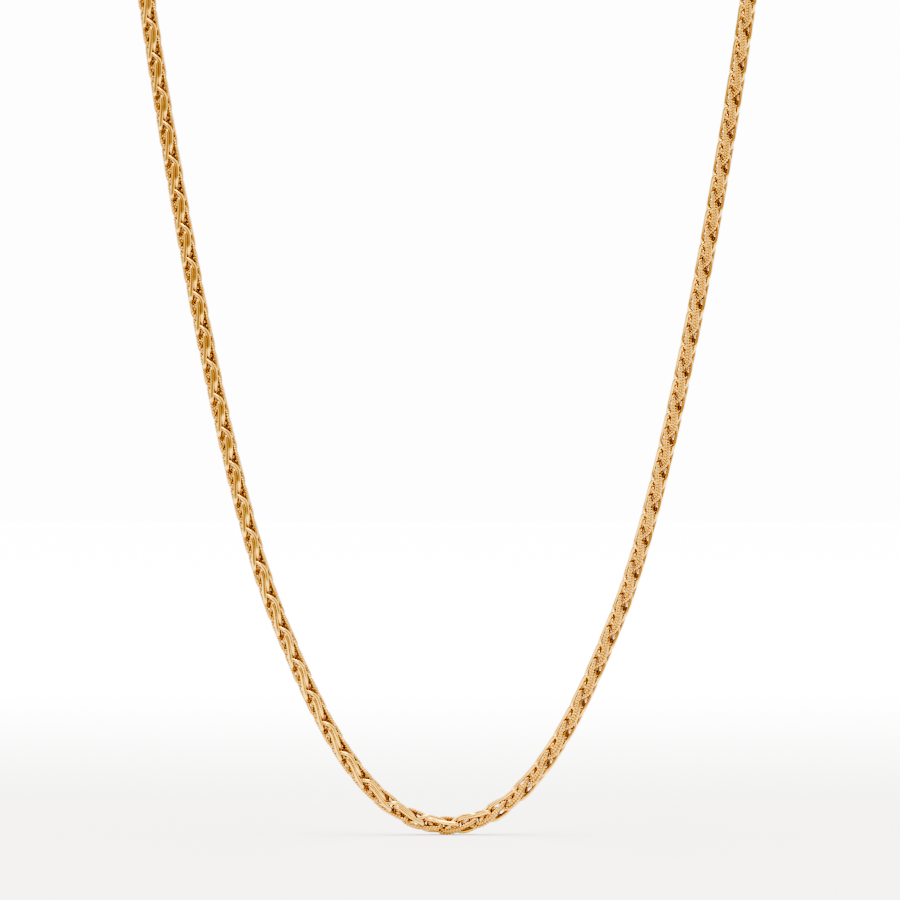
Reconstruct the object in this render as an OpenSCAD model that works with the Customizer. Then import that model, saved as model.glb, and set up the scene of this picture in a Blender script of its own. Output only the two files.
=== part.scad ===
/* [Chain] */
// Width of the chain across two opposite columns of links
chain_w = 2.74; // [2.7:0.02:3.2]
// Diameter of a link's wire
wire_d = 0.34; // [0.24:0.02:0.34]
// Links of each kind, plain and rope
link_count = 79; // [20:1:79]
// Flats round a link's wire
wire_sides = 5; // [5:1:6]

/* [Hanging loop] */
// Height of the hanging front, from its lowest point to the shoulders
drop = 132; // [120:1:150]
// Distance from one strand to the other at the shoulders
spread = 96.2; // [85:0.1:110]
// Distance from the shoulders back to the nape
nape_back = 32; // [28:1:38]
// Rise from the shoulders to the nape
nape_rise = 32; // [26:1:36]
// Length over which the chain rolls a quarter turn at the bottom
roll_length = 42; // [42:1:90]

/* [Clasp] */
// Outer diameter of an end cap
cap_d = 4.5; // [4.4:0.1:5]
// Length of an end cap's cup
cap_len = 4.4; // [4:0.1:5]
// Radius of the clasp's ring, to the middle of its wire
ring_r = 2.6; // [2.4:0.1:3]
// Diameter of the clasp's wire
ring_wire = 1.1; // [0.8:0.1:1.2]

/* [Hidden] */

// Corners of one arm of a link, in the order in which the wire runs through them.
// Columns: out from the axis, across the column, along the chain from the near bar.
// Sizes are for a chain 2.74 wide with a pitch of 5.5 and scale with both.
ARM = [
    [1.03, 0.02, 1.27],   // the far bar turns up into the right-hand wire
    [1.17, 0.94, 6.73],   // tip of the arm
    [0.5, -0.93, 5.7],    // the wire dips behind the next link's near bar
    [1.2, 0.02, 3.56],    // back at the surface, beside the right-hand wire
    [1.2, -0.55, 0],      // the left-hand wire turns in to the near bar
];
ARM_W = 2.74;
ARM_PITCH = 5.5;
ARM_REACH = 6.73;

// Half of the loop, seen from the front: lowest point, hip, shoulder and nape.
bottom_handle = 14;
hip = [26.8, 0, 32.4];
hip_lean = 22.7;
hip_handles = [12.4, 25.3];
shoulder_lean = 7.5;
shoulder_handles = [10.5, 26.8];
nape_handle = 21.5;
nape_half = 10;
shoulder = [spread / 2, 0, drop];
nape = [0, nape_back, drop + nape_rise];
cap_start = [nape_half, nape_back, drop + nape_rise];
HALF_STEPS = 56;

// Parts of the nape, measured along X from its middle.
eye_r = 1.05;
eye_wire = 0.6;
cap_wall = 0.4;
cap_floor = 0.6;
chain_clear = 0.15;
eye_sink = 0.25;
cap_back = ring_r + eye_r + eye_wire / 2 - eye_sink;
chain_end = cap_back + cap_floor + chain_clear;
ROUND = 48;

gold = "goldenrod";
pale_gold = "gold";

function unit(v) = v / norm(v);
function leaning(a) = [sin(a), 0, cos(a)];
function bezier(a, b, c, d, t) =
    (1 - t) ^ 3 * a + 3 * (1 - t) ^ 2 * t * b + 3 * (1 - t) * t ^ 2 * c + t ^ 3 * d;
function smooth(t) = let (u = min(1, max(0, t))) u * u * (3 - 2 * u);

// Curves of the half loop, each as its four control points
HALF = [
    [[0, 0, 0], [bottom_handle, 0, 0], hip - hip_handles[0] * leaning(hip_lean), hip],
    [hip, hip + hip_handles[1] * leaning(hip_lean),
        shoulder - shoulder_handles[0] * leaning(shoulder_lean), shoulder],
    [shoulder, shoulder + shoulder_handles[1] * leaning(shoulder_lean),
        cap_start + [nape_handle, 0, 0], cap_start],
];
half_points = [
    for (c = HALF) for (i = [0 : HALF_STEPS - 1]) bezier(c[0], c[1], c[2], c[3], i / HALF_STEPS),
    cap_start,
    nape,
];
last = len(half_points) - 1;
half_way = [
    for (i = 0, s = 0; i <= last; s = s + (i < last ? norm(half_points[i + 1] - half_points[i]) : 0), i = i + 1) s
];
half_len = half_way[last];

// The frame is carried along without twist, from upright at the lowest point
function tangent(i) = unit(half_points[min(last, i + 1)] - half_points[max(0, i - 1)]);
function flat_to(n, t) = unit(n - (n * t) * t);
half_inward = [for (i = 0, n = [0, 0, 1]; i <= last; i = i + 1, n = i <= last ? flat_to(n, tangent(i)) : n) n];
half_front = [for (i = [0 : last]) cross(half_inward[i], -tangent(i))];

// Tables over the whole loop, from the nape down the left strand and up the right
function table(list, axis, flip) = [
    for (i = [last : -1 : 1]) [-half_way[i], (flip ? -1 : 1) * list[i][axis]],
    for (i = [0 : last]) [half_way[i], list[i][axis]],
];
way_tables = [for (axis = [0 : 2]) table(half_points, axis, axis == 0)];
inward_tables = [for (axis = [0 : 2]) table(half_inward, axis, axis == 0)];
front_tables = [for (axis = [0 : 2]) table(half_front, axis, axis == 0)];
function read_tables(tables, s) = [for (t = tables) lookup(s, t)];

// A place in the chain: q is out towards the front column, across, and along
function in_chain(q, s) =
    let (
        way = s + q[2],
        roll = 90 * smooth(0.5 + way / roll_length),
        inward = read_tables(inward_tables, way),
        front = read_tables(front_tables, way),
        out = front * cos(roll) + inward * sin(roll),
        across = front * sin(roll) - inward * cos(roll)
    )
    read_tables(way_tables, way) + q[0] * out + q[1] * across - nape;

// Length and pitch of the chain, which fills the loop between the end caps
chain_len = 2 * (half_len - chain_end);
pitch = chain_len / (link_count - 0.5 + (ARM_REACH + wire_d) / ARM_PITCH);
across_scale = (chain_w - wire_d) / (ARM_W - wire_d);
along_scale = pitch / ARM_PITCH;
arm = [for (q = ARM) [q[0] * across_scale, q[1] * across_scale, q[2] * along_scale]];
link_corners = concat(arm, [for (i = [len(arm) - 1 : -1 : 0]) [-arm[i][0], -arm[i][1], arm[i][2]]]);
rope_corners = [for (q = link_corners) [q[1], q[0], q[2]]];
first_link = -half_len + chain_end + wire_d / 2 * along_scale;

// A closed wire through the corners c: rings in the mitre planes, carried round without twist,
// and no wider than the stretch allows, so that a sharp corner is blunt
MOST_STRETCH = 1.15;
function edge(c, i) = unit(c[(i + 1) % len(c)] - c[i % len(c)]);
function mitre(c, i) = unit(edge(c, i) + edge(c, i + len(c) - 1));
function mirrored(n, t) = n - 2 * (n * t) * t;
function normals(c) = [
    for (
        i = 0, n = unit(cross(edge(c, 0), [0.3, 0.5, 0.8]));
        i <= len(c);
        i = i + 1, n = mirrored(n, mitre(c, i))
    ) n
];
function wire_points(c, mismatch, steps) =
    let (n = normals(c), count = len(c), rest = mismatch - steps * 360 / wire_sides)
    [
        for (i = [0 : count - 1])
            let (e = edge(c, i), t = mitre(c, i), b = cross(e, n[i]))
            for (j = [0 : wire_sides - 1])
                let (
                    a = j * 360 / wire_sides - rest * i / count,
                    q = wire_d / 2 * (cos(a) * n[i] + sin(a) * b),
                    mitred = q - e * (q * t) / (e * t)
                )
                c[i] + mitred * min(1, MOST_STRETCH * wire_d / 2 / norm(mitred))
    ];
function mismatch_of(c) =
    let (n = normals(c), b = cross(edge(c, 0), n[0])) atan2(n[len(c)] * b, n[len(c)] * n[0]);
function wire_faces(count, steps, start) = [
    for (i = [0 : count - 1])
        for (j = [0 : wire_sides - 1])
            let (
                shift = i == count - 1 ? steps + wire_sides : 0,
                i2 = (i + 1) % count,
                a = start + i * wire_sides + j,
                b = start + i * wire_sides + (j + 1) % wire_sides,
                c = start + i2 * wire_sides + (j + 1 + shift) % wire_sides,
                d = start + i2 * wire_sides + (j + shift) % wire_sides
            )
            each [[a, d, c], [a, c, b]]
];

// Every link of one kind, as loose closed rings that pass through one another
module link_row(corners, offset) {
    rings = [
        for (k = [0 : link_count - 1])
            [for (q = corners) in_chain(q, first_link + offset + k * pitch)]
    ];
    turns = [for (c = rings) mismatch_of(c)];
    steps = [for (t = turns) round(t * wire_sides / 360)];
    per_link = len(corners) * wire_sides;
    polyhedron(
        points = [for (k = [0 : link_count - 1]) each wire_points(rings[k], turns[k], steps[k])],
        faces = [for (k = [0 : link_count - 1]) each wire_faces(len(corners), steps[k], k * per_link)]
    );
}

module plain_links() {
    color(gold) link_row(link_corners, 0);
}

module rope_links() {
    color(pale_gold) link_row(rope_corners, pitch / 2);
}

// A ring of round wire whose axis is Z
module wire_ring(r, d) {
    rotate_extrude($fn = ROUND) translate([r, 0]) circle(d = d, $fn = ROUND);
}

// Cup over the chain's end with an eye soldered to its floor, for the right side
module end_cap() {
    translate([cap_back, 0, 0]) rotate([0, 90, 0]) difference() {
        cylinder(d = cap_d, h = cap_len, $fn = ROUND);
        translate([0, 0, cap_floor]) cylinder(d = cap_d - 2 * cap_wall, h = cap_len, $fn = ROUND);
    }
    translate([ring_r, 0, 0]) rotate([90, 0, 0]) wire_ring(eye_r, eye_wire);
}

module end_cap_right() {
    color(gold) end_cap();
}

module end_cap_left() {
    color(gold) mirror([1, 0, 0]) end_cap();
}

module clasp() {
    color(pale_gold) wire_ring(ring_r, ring_wire);
}

plain_links();
rope_links();
end_cap_left();
end_cap_right();
clasp();
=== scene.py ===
import math

import bpy
import numpy as np
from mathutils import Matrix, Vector


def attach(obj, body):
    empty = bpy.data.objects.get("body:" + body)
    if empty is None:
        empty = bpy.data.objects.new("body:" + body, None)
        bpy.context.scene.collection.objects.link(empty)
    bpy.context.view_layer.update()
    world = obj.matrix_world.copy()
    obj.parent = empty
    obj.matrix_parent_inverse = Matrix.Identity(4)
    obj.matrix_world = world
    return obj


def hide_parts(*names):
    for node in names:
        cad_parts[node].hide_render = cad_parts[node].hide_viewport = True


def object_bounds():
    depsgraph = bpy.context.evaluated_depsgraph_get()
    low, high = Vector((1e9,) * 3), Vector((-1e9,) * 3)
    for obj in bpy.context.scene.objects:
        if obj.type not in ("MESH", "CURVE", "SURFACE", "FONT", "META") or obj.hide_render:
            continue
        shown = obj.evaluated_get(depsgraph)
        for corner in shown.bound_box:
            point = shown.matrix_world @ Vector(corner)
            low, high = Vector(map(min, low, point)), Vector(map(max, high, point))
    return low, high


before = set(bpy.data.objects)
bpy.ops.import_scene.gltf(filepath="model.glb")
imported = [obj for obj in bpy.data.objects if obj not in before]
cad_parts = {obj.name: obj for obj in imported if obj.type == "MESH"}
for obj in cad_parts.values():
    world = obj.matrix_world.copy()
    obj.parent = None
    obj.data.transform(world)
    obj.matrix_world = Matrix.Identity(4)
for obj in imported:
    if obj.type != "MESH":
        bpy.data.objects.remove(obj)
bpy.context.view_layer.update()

MM = 0.001

# Sizes in millimetres, the same as in the part's source
SOLID_WIRE_D = 0.34
LINK_COUNT = 79
DROP = 132
SPREAD = 96.2
NAPE_BACK = 32
NAPE_RISE = 32
ROLL_LENGTH = 42
CAP_FLOOR = 0.6
CHAIN_CLEAR = 0.15
RING_R = 2.6
EYE_R = 1.05
EYE_WIRE = 0.6
EYE_SINK = 0.25
SOLID_PITCH = 5.5
SOLID_REACH = 6.73

# Half of the hanging loop, as in the part's source
BOTTOM_HANDLE = 14
HIP = np.array([26.8, 0, 32.4])
HIP_LEAN = 22.7
HIP_HANDLES = (12.4, 25.3)
SHOULDER_LEAN = 7.5
SHOULDER_HANDLES = (10.5, 26.8)
NAPE_HANDLE = 21.5
NAPE_HALF = 10
SHOULDER = np.array([SPREAD / 2, 0, DROP])
NAPE = np.array([0, NAPE_BACK, DROP + NAPE_RISE])
CAP_START = np.array([NAPE_HALF, NAPE_BACK, DROP + NAPE_RISE])
HALF_STEPS = 300

# Wires as they are drawn: as full as the photo shows them, so that they press into each other
# a little inside the chain. The last values of each are its rings along the wire and the sides
# round it, enough for it to look smooth.
PLAIN_WIRE_D = 0.62
PLAIN_RINGS = 112
PLAIN_SIDES = 10
ROPE_WIRE_D = 0.7
ROPE_LAY = 0.92
STRAND_D = 0.41
STRAND_SIDES = 6
RINGS_A_TURN = 8
ROPE_PIECES = 3

# Control points of one arm of a link: out from the axis, across the column, and along
ARM = np.array([
    [0.19, 1.27, -1.15],  # the near bar, inside
    [0.75, 0.38, -0.16],  # under the tip of the link before
    [1.09, -0.74, 0.92],  # the bar comes up into the right side
    [1.08, -0.66, 2.22],
    [1.14, -0.22, 3.98],
    [0.15, 0.02, 4.97],  # the right-hand wire leaves the surface
    [0.01, 0.63, 6.07],  # deep, under the near bar of the next link
    [1.23, 1.07, 6.81],  # tip of the arm
    [1.13, 0.49, 4.60],  # back up the left side
    [1.13, -0.05, 2.42],
    [1.17, -0.12, 0.90],  # the left-hand wire turns in
])
# A rope link has the same arm, narrower across
ROPE_SHAPE = (1.0, 0.84, 1)
SPAN_STEPS = 40
LENGTH_STEPS = 400
# Any direction that no link's wire has at its first point
START_SIDE = [0.3, 0.5, 0.8]

# Brown painted shade inside the chain and between the strands, full up to the first value of
# each pair and gone from the second: distance from the chain's axis in millimetres, and
# distance from the middle of a rope as a share of its radius
SHADE_FULL_WITHIN = 0.4
SHADE_GONE_BEYOND = 1.2
GROOVE = 0.6
RIDGE = 1.0
# Colour of the painted shade
SHADE_BROWN = "8A5420"


def leaning(degrees):
    a = math.radians(degrees)
    return np.array([math.sin(a), 0, math.cos(a)])


def bezier(a, b, c, d, t):
    t = t[:, None]
    return (1 - t) ** 3 * a + 3 * (1 - t) ** 2 * t * b + 3 * (1 - t) * t**2 * c + t**3 * d


def unit(v):
    return v / np.linalg.norm(v, axis=-1, keepdims=True)


def square_to(n, t):
    """The direction nearest to n that is square to t."""
    return unit(n - (n * t).sum(-1, keepdims=True) * t)


def rise(value, low, high):
    """0 up to low, 1 from high on, and smooth between them."""
    t = np.clip((value - low) / (high - low), 0, 1)
    return t * t * (3 - 2 * t)


def lengths_along(points):
    """Way from the first point to each point of a line."""
    return np.concatenate([[0], np.cumsum(np.linalg.norm(np.diff(points, axis=0), axis=1))])


def half_loop():
    """Right half of the chain's axis: lowest point, hip, shoulder, cap and nape."""
    curves = [
        (
            np.zeros(3),
            np.array([BOTTOM_HANDLE, 0, 0]),
            HIP - HIP_HANDLES[0] * leaning(HIP_LEAN),
            HIP,
        ),
        (
            HIP,
            HIP + HIP_HANDLES[1] * leaning(HIP_LEAN),
            SHOULDER - SHOULDER_HANDLES[0] * leaning(SHOULDER_LEAN),
            SHOULDER,
        ),
        (
            SHOULDER,
            SHOULDER + SHOULDER_HANDLES[1] * leaning(SHOULDER_LEAN),
            CAP_START + np.array([NAPE_HANDLE, 0, 0]),
            CAP_START,
        ),
    ]
    t = np.arange(HALF_STEPS) / HALF_STEPS
    return np.concatenate([bezier(*c, t) for c in curves] + [[CAP_START, NAPE]])


def loop_tables():
    """Way along the loop, with the place and the carried frame at each step."""
    points = half_loop()
    last = len(points) - 1
    way = lengths_along(points)
    steps = np.arange(last + 1)
    tangent = unit(points[np.minimum(steps + 1, last)] - points[np.maximum(steps - 1, 0)])
    inward = [np.array([0.0, 0.0, 1.0])]
    for t in tangent[1:]:
        inward.append(square_to(inward[-1], t))
    inward = np.array(inward)
    front = np.cross(inward, -tangent)
    flip = np.array([-1, 1, 1])

    def whole(half):
        return np.concatenate([half[:0:-1] * flip, half])

    whole_way = np.concatenate([-way[:0:-1], way])
    return whole_way, whole(points), whole(inward), whole(front), way[-1]


WAY, PLACE, INWARD, FRONT, HALF_LEN = loop_tables()
CHAIN_END = RING_R + EYE_R + EYE_WIRE / 2 - EYE_SINK + CAP_FLOOR + CHAIN_CLEAR
CHAIN_LEN = 2 * (HALF_LEN - CHAIN_END)
PITCH = CHAIN_LEN / (LINK_COUNT - 0.5 + (SOLID_REACH + SOLID_WIRE_D) / SOLID_PITCH)
FIRST_LINK = -HALF_LEN + CHAIN_END + SOLID_WIRE_D / 2 * PITCH / SOLID_PITCH


def read_table(table, way):
    return np.stack([np.interp(way, WAY, table[:, i]) for i in range(3)], -1)


def in_chain(line, starts):
    """A link's line, given as out, across and along, set into the loop at each start."""
    way = starts[:, None] + line[:, 2]
    roll = (np.pi / 2 * rise(way, -ROLL_LENGTH / 2, ROLL_LENGTH / 2))[..., None]
    inward = read_table(INWARD, way)
    front = read_table(FRONT, way)
    out = front * np.cos(roll) + inward * np.sin(roll)
    across = front * np.sin(roll) - inward * np.cos(roll)
    return read_table(PLACE, way) + line[:, :1] * out + line[:, 1:2] * across - NAPE


def link_starts(late):
    """Where each link of a row lies that starts so many pitches late."""
    return FIRST_LINK + (late + np.arange(LINK_COUNT)) * PITCH


def closed_spline(control, steps):
    """Points on the closed cubic spline of the control points."""
    t = np.arange(steps)[:, None] / steps
    weights = np.concatenate(
        [(1 - t) ** 3, 3 * t**3 - 6 * t**2 + 4, -3 * t**3 + 3 * t**2 + 3 * t + 1, t**3], 1
    ) / 6
    n = len(control)
    four = control[(np.arange(n)[:, None] + np.array([-1, 0, 1, 2])) % n]
    return np.einsum("sk,nkd->nsd", weights, four).reshape(-1, 3)


def link_line(arm, count):
    """A link's closed line as points at even steps, and its length."""
    other_arm = arm[::-1] * [-1, -1, 1]
    ring = closed_spline(np.concatenate([arm, other_arm]), SPAN_STEPS)
    ring = np.concatenate([ring, ring[:1]])
    way = lengths_along(ring)
    want = np.arange(count) / count * way[-1]
    return np.stack([np.interp(want, way, ring[:, i]) for i in range(3)], -1), way[-1]


def carried_frame(lines):
    """Two directions square to each closed line and to each other, carried round without
    twist and then eased so that they meet."""
    ahead = unit(np.roll(lines, -1, 1) - np.roll(lines, 1, 1))
    count = lines.shape[1]
    n = unit(np.cross(ahead[:, 0], START_SIDE))
    carried = []
    for i in range(count):
        n = square_to(n, ahead[:, i])
        carried.append(n)
    first = carried[0]
    n = square_to(n, ahead[:, 0])
    miss = np.arctan2((np.cross(first, n) * ahead[:, 0]).sum(-1), (first * n).sum(-1))
    ease = (-miss[:, None] * np.arange(count) / count)[..., None]
    normals = np.stack(carried, 1)
    normals = normals * np.cos(ease) + np.cross(ahead, normals) * np.sin(ease)
    return normals, np.cross(ahead, normals)


def tube_points(lines, radius, sides):
    """Points of a closed round tube about each line: by line, along it and round it."""
    normals, beside = carried_frame(lines)
    a = (np.arange(sides) * 2 * np.pi / sides)[:, None]
    return lines[:, :, None] + radius * (
        normals[:, :, None] * np.cos(a) + beside[:, :, None] * np.sin(a)
    )


def tube_quads(lines, count, sides):
    k, i, j = np.meshgrid(np.arange(lines), np.arange(count), np.arange(sides), indexing="ij")

    def corner(i, j):
        return (k * count + i % count) * sides + j % sides

    corners = [corner(i, j), corner(i, j + 1), corner(i + 1, j + 1), corner(i + 1, j)]
    return np.stack(corners, -1).reshape(-1, 4)


def unshaded_share(tube, line, starts):
    """How free of painted shade each point of the wires is: 0 deep in the chain, 1 outside."""
    axis = read_table(PLACE, starts[:, None] + line[:, 2]) - NAPE
    depth = np.linalg.norm(tube - axis[:, :, None], axis=-1)
    return rise(depth, SHADE_FULL_WITHIN, SHADE_GONE_BEYOND)


def wire_piece(name, tubes, shade_free, replaced, material):
    """One piece of closed wires, from their points in millimetres and the share free of painted
    shade at each.
    """
    points = []
    quads = []
    start = 0
    for tube in tubes:
        lines, count, sides, _ = tube.shape
        points.append(tube.reshape(-1, 3) * MM)
        quads.append(tube_quads(lines, count, sides) + start)
        start += lines * count * sides
    points = np.concatenate(points)
    quads = np.concatenate(quads)
    mesh = bpy.data.meshes.new(name)
    mesh.vertices.add(len(points))
    mesh.vertices.foreach_set("co", points.ravel())
    mesh.loops.add(quads.size)
    mesh.loops.foreach_set("vertex_index", quads.ravel().astype(np.int32))
    mesh.polygons.add(len(quads))
    mesh.polygons.foreach_set("loop_start", np.arange(0, quads.size, 4, dtype=np.int32))
    mesh.polygons.foreach_set("use_smooth", np.ones(len(quads), bool))
    mesh.update(calc_edges=True)
    mesh.validate()
    # How free of painted shade each point is, for the gold's material
    layer = mesh.attributes.new("shade_free", "FLOAT", "POINT")
    layer.data.foreach_set("value", np.concatenate([p.ravel() for p in shade_free]))
    mesh.materials.append(material)
    piece = bpy.data.objects.new(name, mesh)
    bpy.context.collection.objects.link(piece)
    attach(piece, "root")
    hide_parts(replaced)


def linear(hex_colour):
    """An sRGB hex colour as linear RGBA."""
    parts = [int(hex_colour[i : i + 2], 16) / 255 for i in (0, 2, 4)]
    return [c / 12.92 if c <= 0.04045 else ((c + 0.055) / 1.055) ** 2.4 for c in parts] + [1.0]


def add_node(tree, kind, links=(), stops=(), **settings):
    """Adds a node. links pairs an input with another node's output, stops are the places and
    colours of a ramp from left to right, and settings are the node's values by name."""
    node = tree.nodes.new(kind)
    for key, value in settings.items():
        if hasattr(node, key):
            setattr(node, key, value)
        else:
            node.inputs[key.replace("_", " ")].default_value = value
    for socket, source in links:
        tree.links.new(source, node.inputs[socket])
    for _ in stops[2:]:
        node.color_ramp.elements.new(1.0)
    for i, (place, colour) in enumerate(stops):
        node.color_ramp.elements[i].position = place
        node.color_ramp.elements[i].color = colour
    return node


# Share of the cloudy patches' noise at which they are all of one tone and all of the other
CLOUD_FROM = 0.35
CLOUD_TO = 0.65
GRAIN_DEPTH_MM = 0.02
# The colour inputs and output of a mix node, which share their names with others
MIX_A = 6
MIX_B = 7
MIX_RESULT = 2


def polished_gold(name, deep, pale, roughness, cloud_mm, grain_mm, bump, shade_brown=None):
    """Gold, polished on a buffing wheel: near mirror-bright, with faint cloudy patches in its
    colour and shine, a skin a little rougher than glass, and, given a brown, painted shade in
    that brown between the strands and inside the chain."""
    material = bpy.data.materials.new(name)
    material.use_nodes = True
    tree = material.node_tree
    tree.nodes.clear()
    place = add_node(tree, "ShaderNodeTexCoord").outputs["Object"]
    cloud = add_node(
        tree, "ShaderNodeTexNoise", [("Vector", place)], Scale=1 / (cloud_mm * MM), Detail=2.0
    )
    tone = add_node(
        tree, "ShaderNodeValToRGB", [("Fac", cloud.outputs[0])],
        stops=[(CLOUD_FROM, linear(deep)), (CLOUD_TO, linear(pale))],
    )
    colour = tone.outputs[0]
    # Painted shade: the brown is mixed in where a point is little free of it, deep in the chain
    if shade_brown:
        shade_free_node = add_node(tree, "ShaderNodeAttribute", attribute_name="shade_free")
        shade_mix = add_node(
            tree, "ShaderNodeMix", [(0, shade_free_node.outputs["Fac"]), (MIX_B, colour)], data_type="RGBA"
        )
        shade_mix.inputs[MIX_A].default_value = linear(shade_brown)
        colour = shade_mix.outputs[MIX_RESULT]
    shine = add_node(
        tree, "ShaderNodeMapRange", [("Value", cloud.outputs[0])],
        To_Min=roughness[0], To_Max=roughness[1],
    )
    grain = add_node(
        tree, "ShaderNodeTexNoise", [("Vector", place)], Scale=1 / (grain_mm * MM), Detail=3.0
    )
    relief = add_node(
        tree, "ShaderNodeBump", [("Height", grain.outputs[0])],
        Strength=bump, Distance=GRAIN_DEPTH_MM * MM,
    )
    gold = add_node(
        tree, "ShaderNodeBsdfPrincipled",
        [
            ("Base Color", colour),
            ("Roughness", shine.outputs[0]),
            ("Normal", relief.outputs[0]),
        ],
        Metallic=1.0,
    )
    add_node(tree, "ShaderNodeOutputMaterial", [("Surface", gold.outputs[0])])
    return material


# Drawn wire, polished to a near mirror, with brown painted shade inside the chain
plain_gold = polished_gold(
    "polished_gold_wire", deep="CF9E1C", pale="E4B428", roughness=(0.06, 0.12),
    cloud_mm=1.5, grain_mm=0.12, bump=0.05, shade_brown=SHADE_BROWN,
)
# Thinner drawn wire, twisted before it was buffed, so a little rougher. Its gold is the plain
# wire's in a darker tone, which is painted shade, and it has the same brown painted shade.
rope_gold = polished_gold(
    "twisted_gold_wire", deep="BF8D12", pale="D3A31E", roughness=(0.08, 0.15),
    cloud_mm=1.2, grain_mm=0.1, bump=0.08, shade_brown=SHADE_BROWN,
)
# Caps turned on a lathe and a ring of thick wire, polished less, so softer in their shine
cap_gold = polished_gold(
    "turned_gold", deep="CD9E2C", pale="E0B33C", roughness=(0.12, 0.22),
    cloud_mm=2.5, grain_mm=0.2, bump=0.15,
)


def plain_wire_links():
    """Rings of plain wire, which face the viewer on the left strand."""
    starts = link_starts(0)
    line, _ = link_line(ARM, PLAIN_RINGS)
    tube = tube_points(in_chain(line, starts), PLAIN_WIRE_D / 2, PLAIN_SIDES)
    wire_piece(
        "plain_wire_links", [tube], [unshaded_share(tube, line, starts)],
        "plain_links", plain_gold,
    )


def rope_wire_links():
    """Rings of two strands twisted together, a quarter turn round from the plain ones and half a
    pitch on, which face the viewer on the right strand."""
    starts = link_starts(0.5)
    rope_arm = ARM * ROPE_SHAPE
    _, wire_len = link_line(rope_arm, LENGTH_STEPS)
    turns = round(wire_len / ROPE_LAY)
    rings = turns * RINGS_A_TURN
    line, _ = link_line(rope_arm, rings)
    line = line[:, [1, 0, 2]]
    lines = in_chain(line, starts)
    normals, beside = carried_frame(lines)
    turn = (-np.arange(rings) * 2 * np.pi * turns / rings)[:, None]
    strands = []
    shade_free = []
    for half_turn in (0, np.pi):
        off = normals * np.cos(turn + half_turn) + beside * np.sin(turn + half_turn)
        middle = lines + (ROPE_WIRE_D - STRAND_D) / 2 * off
        strand = tube_points(middle, STRAND_D / 2, STRAND_SIDES)
        ridge = np.linalg.norm(strand - lines[:, :, None], axis=-1) / (ROPE_WIRE_D / 2)
        strands.append(strand)
        # Painted shade also in the grooves, growing towards the middle of the rope
        shade_free.append(unshaded_share(strand, line, starts) * rise(ridge, GROOVE, RIDGE))
    for i, some in enumerate(np.array_split(np.arange(LINK_COUNT), ROPE_PIECES)):
        wire_piece(
            "rope_wire_links_%d" % (i + 1), [s[some] for s in strands], [p[some] for p in shade_free],
            "rope_links", rope_gold,
        )


def turned_solids():
    """The caps and the clasp keep their solids and only get their gold."""
    for node in ("end_cap_left", "end_cap_right", "clasp"):
        solid = bpy.data.objects[node]
        solid.data.materials.clear()
        solid.data.materials.append(cap_gold)


# White card under the lowest link, in metres: it glows far behind, where it meets the backdrop,
# and is darker towards the camera, where its reflection gives the wires their brown middles
FLOOR_HALF = 3.0
CARD_TONE = "F4F2EF"
CARD_ROUGHNESS = 0.7
GLOW = "FFFFFF"
FAR_GLOW = 12.0
GLOW_FROM = 0.0
GLOW_FULL = 0.5
GLOW_HALF_WIDTH = 0.45
FALL_FROM = -0.14
FALL_FULL = -0.4
FALL_TONE = "6A6866"


def matt_white_card():
    """Uncoated card, pressed smooth: matt and even, so that it shows nothing but the shadow."""
    material = bpy.data.materials.new("matt_white_card")
    material.use_nodes = True
    tree = material.node_tree
    tree.nodes.clear()
    place = add_node(tree, "ShaderNodeTexCoord").outputs["Object"]
    parts = add_node(tree, "ShaderNodeSeparateXYZ", [("Vector", place)])
    far = add_node(
        tree, "ShaderNodeMapRange", [("Value", parts.outputs["Y"])],
        interpolation_type="SMOOTHSTEP", From_Min=GLOW_FROM, From_Max=GLOW_FULL, To_Max=FAR_GLOW,
    )
    beside = add_node(tree, "ShaderNodeMath", [(0, parts.outputs["X"])], operation="ABSOLUTE")
    strip = add_node(
        tree, "ShaderNodeMapRange", [("Value", beside.outputs[0])],
        interpolation_type="SMOOTHSTEP",
        From_Min=GLOW_HALF_WIDTH, From_Max=2 * GLOW_HALF_WIDTH, To_Min=1.0, To_Max=0.0,
    )
    glow = add_node(
        tree, "ShaderNodeMath", [(0, far.outputs[0]), (1, strip.outputs[0])],
        operation="MULTIPLY",
    )
    near = add_node(
        tree, "ShaderNodeMapRange", [("Value", parts.outputs["Y"])],
        interpolation_type="SMOOTHSTEP", From_Min=FALL_FULL, From_Max=FALL_FROM,
    )
    tone = add_node(
        tree, "ShaderNodeValToRGB", [("Fac", near.outputs[0])],
        stops=[(0.0, linear(FALL_TONE)), (1.0, linear(CARD_TONE))],
    )
    card = add_node(
        tree, "ShaderNodeBsdfPrincipled",
        [("Base Color", tone.outputs[0]), ("Emission Strength", glow.outputs[0])],
        Roughness=CARD_ROUGHNESS, Emission_Color=linear(GLOW),
    )
    add_node(tree, "ShaderNodeOutputMaterial", [("Surface", card.outputs[0])])
    return material


def card_floor():
    low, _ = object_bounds()
    corners = ((-1, -1), (1, -1), (1, 1), (-1, 1))
    mesh = bpy.data.meshes.new("floor")
    mesh.from_pydata(
        [(x * FLOOR_HALF, y * FLOOR_HALF, low.z) for x, y in corners], [], [(0, 1, 2, 3)]
    )
    mesh.materials.append(matt_white_card())
    floor = bpy.data.objects.new("floor", mesh)
    bpy.context.collection.objects.link(floor)


# Camera: looks level at the plane of the hanging front. The loop's middle and lowest point are
# given in pixels of the picture, the distance and the sensor in millimetres.
PIXEL_MM = 0.16
IMAGE = 900
LOOP_MIDDLE_PX = 447.5
LOWEST_PX = 825.3
CAMERA_DISTANCE = 700
SENSOR = 36
NEAREST_M = 0.01
FARTHEST_M = 20


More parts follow.
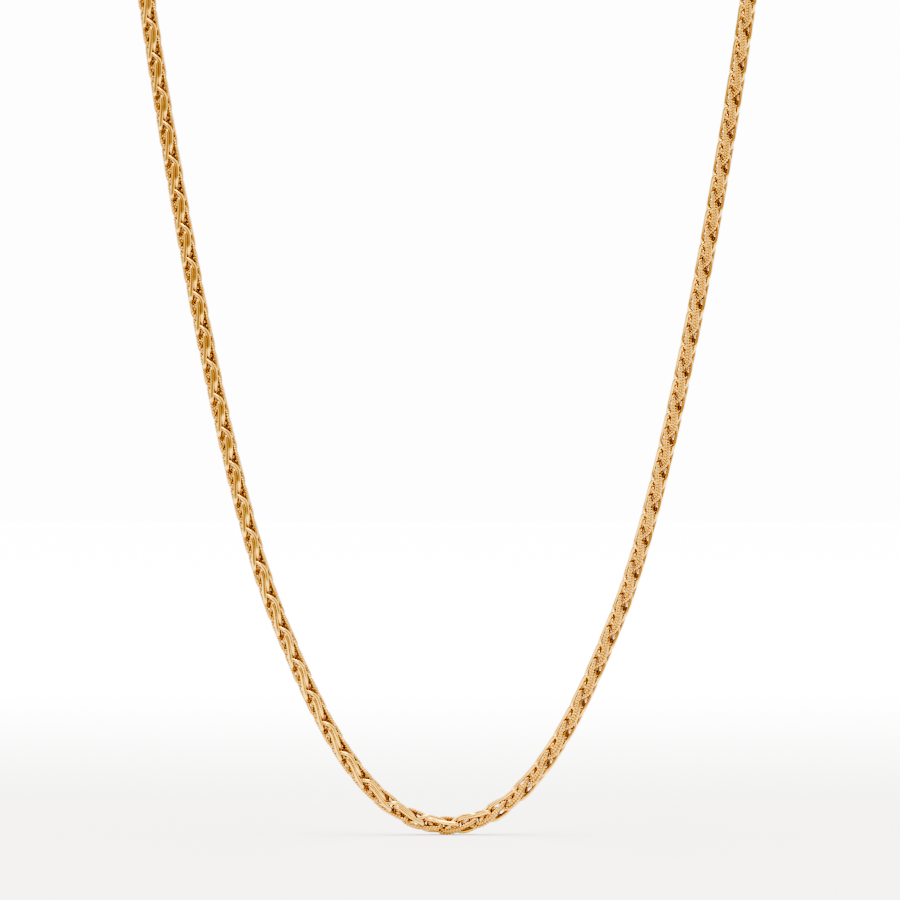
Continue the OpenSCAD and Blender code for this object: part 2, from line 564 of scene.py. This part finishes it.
def level_camera():
    camera = bpy.data.cameras.new("camera")
    camera.sensor_width = SENSOR
    camera.lens = SENSOR * CAMERA_DISTANCE / (IMAGE * PIXEL_MM)
    camera.clip_start = NEAREST_M
    camera.clip_end = FARTHEST_M
    view = bpy.data.objects.new("camera", camera)
    bpy.context.collection.objects.link(view)
    view.location = (
        (IMAGE / 2 - LOOP_MIDDLE_PX) * PIXEL_MM * MM,
        (-NAPE_BACK - CAMERA_DISTANCE) * MM,
        ((LOWEST_PX - IMAGE / 2) * PIXEL_MM - DROP - NAPE_RISE) * MM,
    )
    view.rotation_euler = (math.radians(90), 0, 0)
    bpy.context.scene.camera = view


# Light: a tent that is dark and warm in front, bright at both sides and white behind, so that
# each wire has a bright line along both edges and a brown middle. It is a little darker below.
# Places are from -1, in front or below, to 1, behind or above.
FRONT_LIGHT = 1.1
FRONT_TINT = "FFD9AE"
SIDE_LIGHT = 8.5
SIDE_TINT = "FFFFFF"
BACK_LIGHT = 1.5
FRONT_TO = -0.3
SIDE_FROM = -0.1
SIDE_TO = 0.1
BACK_FROM = 0.4
BACKDROP_LIGHT = 14.0
BACKDROP_FROM = 0.95
BACKDROP_FULL = 0.98
LOW_AT = -0.3
HIGH_AT = 0.6
LOW_SHARE = 0.6
HIGH_SHARE = 1.3
TENT = [
    # place and strength
    (-1.0, FRONT_LIGHT),
    (FRONT_TO, FRONT_LIGHT),
    (SIDE_FROM, SIDE_LIGHT),
    (SIDE_TO, SIDE_LIGHT),
    (BACK_FROM, BACK_LIGHT),
    (1.0, BACK_LIGHT),
]


def on_ramp(place):
    """A place from -1 to 1 as a place on a ramp, which runs from 0 to 1."""
    return (place + 1) / 2


def light_tent():
    world = bpy.data.worlds.new("light_tent")
    bpy.context.scene.world = world
    world.use_nodes = True
    tree = world.node_tree
    direction = add_node(tree, "ShaderNodeTexCoord").outputs["Generated"]
    parts = add_node(tree, "ShaderNodeSeparateXYZ", [("Vector", direction)])
    toward = add_node(
        tree, "ShaderNodeMapRange", [("Value", parts.outputs["Y"])], From_Min=-1.0
    ).outputs[0]
    shares = [(place, strength / SIDE_LIGHT) for place, strength in TENT]
    share = add_node(
        tree, "ShaderNodeValToRGB", [("Fac", toward)],
        stops=[(on_ramp(place), (value, value, value, 1)) for place, value in shares],
    )
    warmth = add_node(
        tree, "ShaderNodeValToRGB", [("Fac", toward)],
        stops=[(on_ramp(FRONT_TO), linear(FRONT_TINT)), (on_ramp(SIDE_FROM), linear(SIDE_TINT))],
    )
    height = add_node(
        tree, "ShaderNodeMapRange", [("Value", parts.outputs["Z"])],
        From_Min=LOW_AT, From_Max=HIGH_AT,
        To_Min=SIDE_LIGHT * LOW_SHARE, To_Max=SIDE_LIGHT * HIGH_SHARE,
    )
    tent = add_node(
        tree, "ShaderNodeMath", [(0, share.outputs[0]), (1, height.outputs[0])],
        operation="MULTIPLY",
    )
    behind = add_node(
        tree, "ShaderNodeMapRange", [("Value", parts.outputs["Y"])],
        From_Min=BACKDROP_FROM, From_Max=BACKDROP_FULL, To_Max=BACKDROP_LIGHT,
    )
    both = add_node(
        tree, "ShaderNodeMath", [(0, tent.outputs[0]), (1, behind.outputs[0])],
        operation="MAXIMUM",
    )
    background = tree.nodes["Background"]
    tree.links.new(warmth.outputs[0], background.inputs["Color"])
    tree.links.new(both.outputs[0], background.inputs["Strength"])


# Long soft box over the chain, in metres and watts: it lights the tops of the bends and keeps
# the shadow soft
TOP_WIDTH = 0.3
TOP_LENGTH = 1.6
TOP_POWER = 46
TOP_PLACE = Vector((0, 0, 0.8))
TOP_AIM = Vector((0, -NAPE_BACK * MM, -0.09))


def top_soft_box():
    lamp = bpy.data.lights.new("top", "AREA")
    lamp.shape = "RECTANGLE"
    lamp.size = TOP_WIDTH
    lamp.size_y = TOP_LENGTH
    lamp.energy = TOP_POWER
    box = bpy.data.objects.new("top", lamp)
    bpy.context.collection.objects.link(box)
    box.location = TOP_PLACE
    box.rotation_euler = (TOP_AIM - TOP_PLACE).to_track_quat("-Z", "Y").to_euler()


plain_wire_links()
rope_wire_links()
turned_solids()
card_floor()
level_camera()
light_tent()
top_soft_box()
